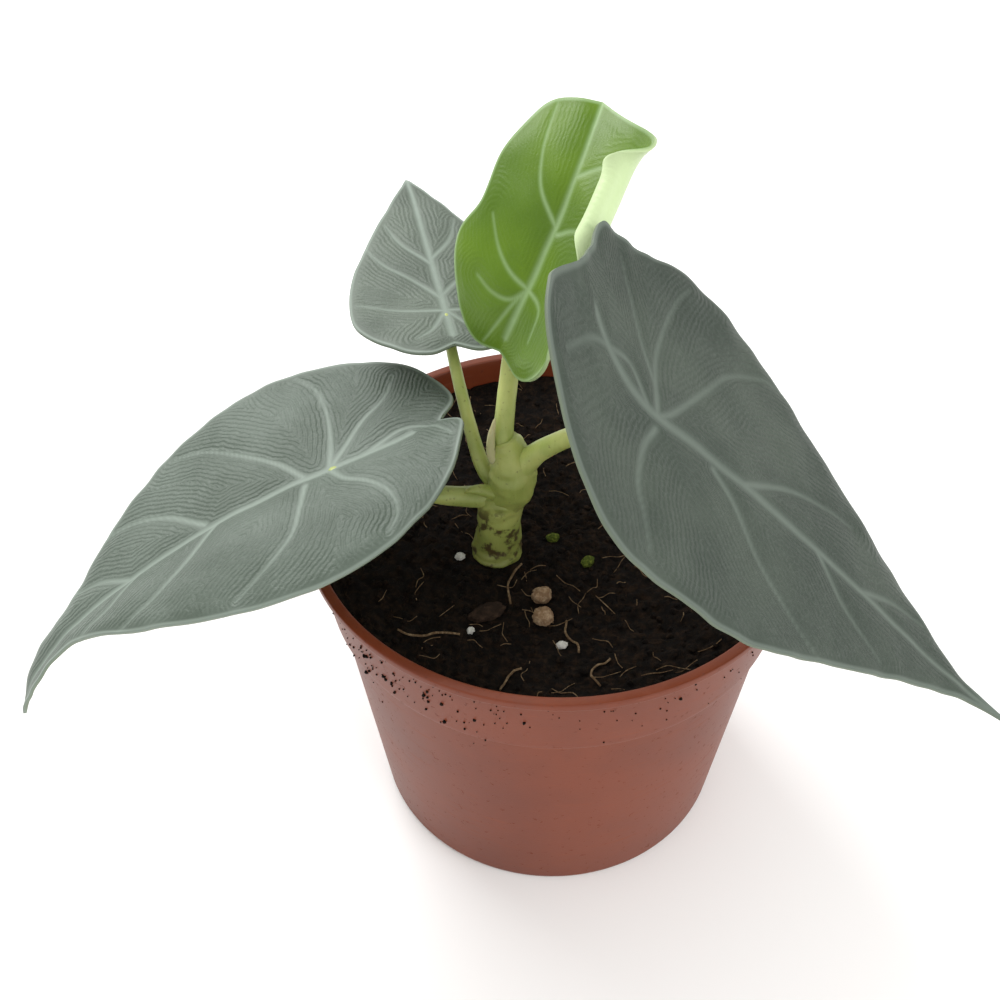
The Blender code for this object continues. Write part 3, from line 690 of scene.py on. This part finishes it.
edge = wall(84.5) - WALL - 0.35
rings = [(edge * index / 110, SOIL_LEVEL) for index in range(111)]
inside = lambda z: wall(z) - WALL - 0.35
bm = bmesh.new()
spin_profile(bm, rings + [(inside(74), 74), (inside(SHOULDER - 2), SHOULDER - 2), (inside(4), 4), (inside(4) - 2, 1.6), (0, 1.6)], 300)
for vert in bm.verts:
    if vert.co.z > 82 * MM:
        vert.co.z = soil_height(vert.co.x / MM, vert.co.y / MM) * MM
add_piece("peat", bm, looks["soil"], ("soil",))

# %% Lumps, chips and tufts
for number, (name, (x, y, a, b, c, turn, slot)) in enumerate(lumps.items()):
    bm = bmesh.new()
    bmesh.ops.create_icosphere(bm, subdivisions=5, radius=1)
    for vert in bm.verts:
        rough = 1 + 0.22 * noise.noise(vert.co * 1.7 + Vector((3.7 * number, 0, 0)))
        rough += 0.10 * noise.noise(vert.co * 5 + Vector((number, 0, 0))) + 0.05 * noise.noise(vert.co * 13)
        vert.co = Vector((vert.co.x * a, vert.co.y * b, max(vert.co.z, -0.7) * c)) * rough * MM
    lowest = min(vert.co.z for vert in bm.verts)
    bmesh.ops.rotate(bm, verts=bm.verts, cent=(0, 0, 0), matrix=Matrix.Rotation(radians(turn), 3, "Z"))
    bmesh.ops.translate(bm, verts=bm.verts, vec=(x * MM, y * MM, SEAT_LEVEL * MM - lowest))
    add_piece("rough_" + name, bm, looks[slot], (name,))

# %% Roots and fibres
roots = {
    "root_left": [(-34.7, -35.0), (-30.0, -36.4), (-25.0, -34.6), (-20.6, -34.7)],
    "root_middle": [(-9.6, -24.6), (-10.5, -19.5), (-9.4, -15.0), (-7.6, -11.8)],
    "root_right": [(3.4, -29.2), (3.2, -33.0), (5.8, -36.2), (6.2, -39.4)],
    "root_front": [(13.2, -41.0), (9.6, -43.2), (9.0, -46.4), (11.0, -48.8)],
    "root_rim": [(-10.8, -50.6), (-9.6, -48.0), (-8.6, -45.8), (-6.4, -44.0)],
}
for name, path in roots.items():
    bm = bmesh.new()
    stations = [(x, y, soil_height(x, y) + 0.55, 0.26) for x, y in smooth_path(path, 3)]
    add_tube(bm, stations, sides=10, per_span=2, wobble=0.3, seed=len(name))
    add_piece("thin_" + name, bm, looks["root"], (name,))

chance = np.random.default_rng(12)
bm = bmesh.new()
for _ in range(150):
    turn, reach = chance.uniform(0, 2 * pi), 54 * chance.uniform(0.05, 1) ** 0.5
    x, y, heading, length = reach * cos(turn), reach * sin(turn), chance.uniform(0, 2 * pi), chance.uniform(2, 8)
    if (x + 13.5) ** 2 + (y + 6) ** 2 < 90:
        continue
    stations = []
    for step in range(4):
        heading += chance.normal(0, 0.45)
        if x * x + y * y < 54.5**2:
            stations.append((x, y, soil_height(x, y) + chance.uniform(0.1, 0.7), chance.uniform(0.07, 0.14)))
        x, y = x + length / 3 * cos(heading), y + length / 3 * sin(heading)
    if len(stations) > 2:
        add_tube(bm, stations, sides=5, per_span=3)
add_piece("fibres", bm, looks["root"])

bm = bmesh.new()
for _ in range(900):
    turn, reach = chance.uniform(0, 2 * pi), 55 * chance.uniform(0.0, 1) ** 0.5
    x, y, size = reach * cos(turn), reach * sin(turn), chance.uniform(0.25, 1.1) ** 1.3
    if (x + 13.5) ** 2 + (y + 6) ** 2 < 60:
        continue
    crumb = bmesh.ops.create_icosphere(bm, subdivisions=1, radius=size * MM)["verts"]
    for vert in crumb:
        vert.co *= 1 + 0.45 * noise.noise(vert.co / MM * 0.9 + Vector((x, y, 0)))
        vert.co.z *= 0.7
    bmesh.ops.translate(bm, verts=crumb, vec=(x * MM, y * MM, (soil_height(x, y) + 0.1) * MM))
add_piece("crumbs", bm, looks["soil"], smooth=False)

# %% [markdown]
# ## Peat on the pot
# Specks of peat cling to the collar, thickest at its left and under the lip, with a few on the rim.

# %% Specks on the collar
bm = bmesh.new()
clusters = [(226, 80, 30), (240, 84, 26), (262, 87.5, 26), (252, 74, 14), (330, 80, 14), (215, 70, 16), (205, 86, 18), (300, 86, 10)]
for centre, level, count in clusters:
    for _ in range(count):
        angle = radians(centre + chance.normal(0, 6))
        z = min(88.4, max(40, level + chance.normal(0, 4)))
        size = 0.16 + 0.42 * chance.uniform(0, 1) ** 3
        speck = bmesh.ops.create_icosphere(bm, subdivisions=1, radius=size * MM)["verts"]
        for vert in speck:
            vert.co *= 1 + 0.5 * noise.noise(vert.co / MM * 2 + Vector((z, angle, 0)))
        r = wall(z) + 0.12
        bmesh.ops.translate(bm, verts=speck, vec=(r * cos(angle) * MM, r * sin(angle) * MM, z * MM))
for _ in range(160):
    angle, z = chance.uniform(0, 2 * pi), 88.8 - abs(chance.normal(0, 9))
    speck = bmesh.ops.create_icosphere(bm, subdivisions=1, radius=chance.uniform(0.10, 0.26) * MM)["verts"]
    r = wall(max(z, 5)) + 0.05
    bmesh.ops.translate(bm, verts=speck, vec=(r * cos(angle) * MM, r * sin(angle) * MM, max(z, 5) * MM))
add_piece("pot_specks", bm, looks["soil"], smooth=False)

# %% [markdown]
# ## Floor, light and camera
# A plain pale floor, a large soft light above left and behind, a weaker one from the right and a pale sky.

# %% Stage
bm = bmesh.new()
bmesh.ops.create_grid(bm, x_segments=1, y_segments=1, size=4)
mesh = bpy.data.meshes.new("floor")
bm.to_mesh(mesh)
bm.free()
floor = bpy.data.objects.new("floor", mesh)
bpy.context.scene.collection.objects.link(floor)
s = Shader("floor")
mesh.materials.append(s.finish(Base_Color=s.mix(s.noise(3, 2), (0.88, 0.88, 0.88), (0.92, 0.92, 0.92)), Roughness=0.9))


def soft_light(name, place, target, size, power):
    data = bpy.data.lights.new(name, "AREA")
    data.shape, data.size, data.energy = "SQUARE", size, power
    lamp = bpy.data.objects.new(name, data)
    lamp.location = place
    lamp.rotation_euler = (Vector(target) - Vector(place)).to_track_quat("-Z", "Y").to_euler()
    bpy.context.scene.collection.objects.link(lamp)


soft_light("key", (-0.50, 0.55, 0.75), (0, 0, 0.10), 0.6, 9)
soft_light("fill", (0.55, -0.50, 0.60), (0, 0, 0.08), 0.7, 4)
world = bpy.data.worlds.new("sky")
world.use_nodes = True
world.node_tree.nodes["Background"].inputs["Color"].default_value = (1.0, 0.985, 0.96, 1)
world.node_tree.nodes["Background"].inputs["Strength"].default_value = 0.95
bpy.context.scene.world = world
bpy.context.scene.view_settings.view_transform = "Standard"

YAW, PITCH, ROLL = -0.0556, -0.7687, -0.008
ahead = Vector((sin(YAW) * cos(PITCH), cos(YAW) * cos(PITCH), sin(PITCH)))
right = Vector((cos(YAW), -sin(YAW), 0))
up = right.cross(ahead)
turned_right = right * cos(ROLL) + up * sin(ROLL)
turned_up = up * cos(ROLL) - right * sin(ROLL)
camera_data = bpy.data.cameras.new("camera")
camera_data.lens, camera_data.sensor_width = 50, 36
camera = bpy.data.objects.new("camera", camera_data)
camera.matrix_world = Matrix.Translation((0, -0.238, 0.323)) @ Matrix(
    (turned_right, turned_up, -ahead)).transposed().to_4x4()
bpy.context.scene.collection.objects.link(camera)
bpy.context.scene.camera = camera
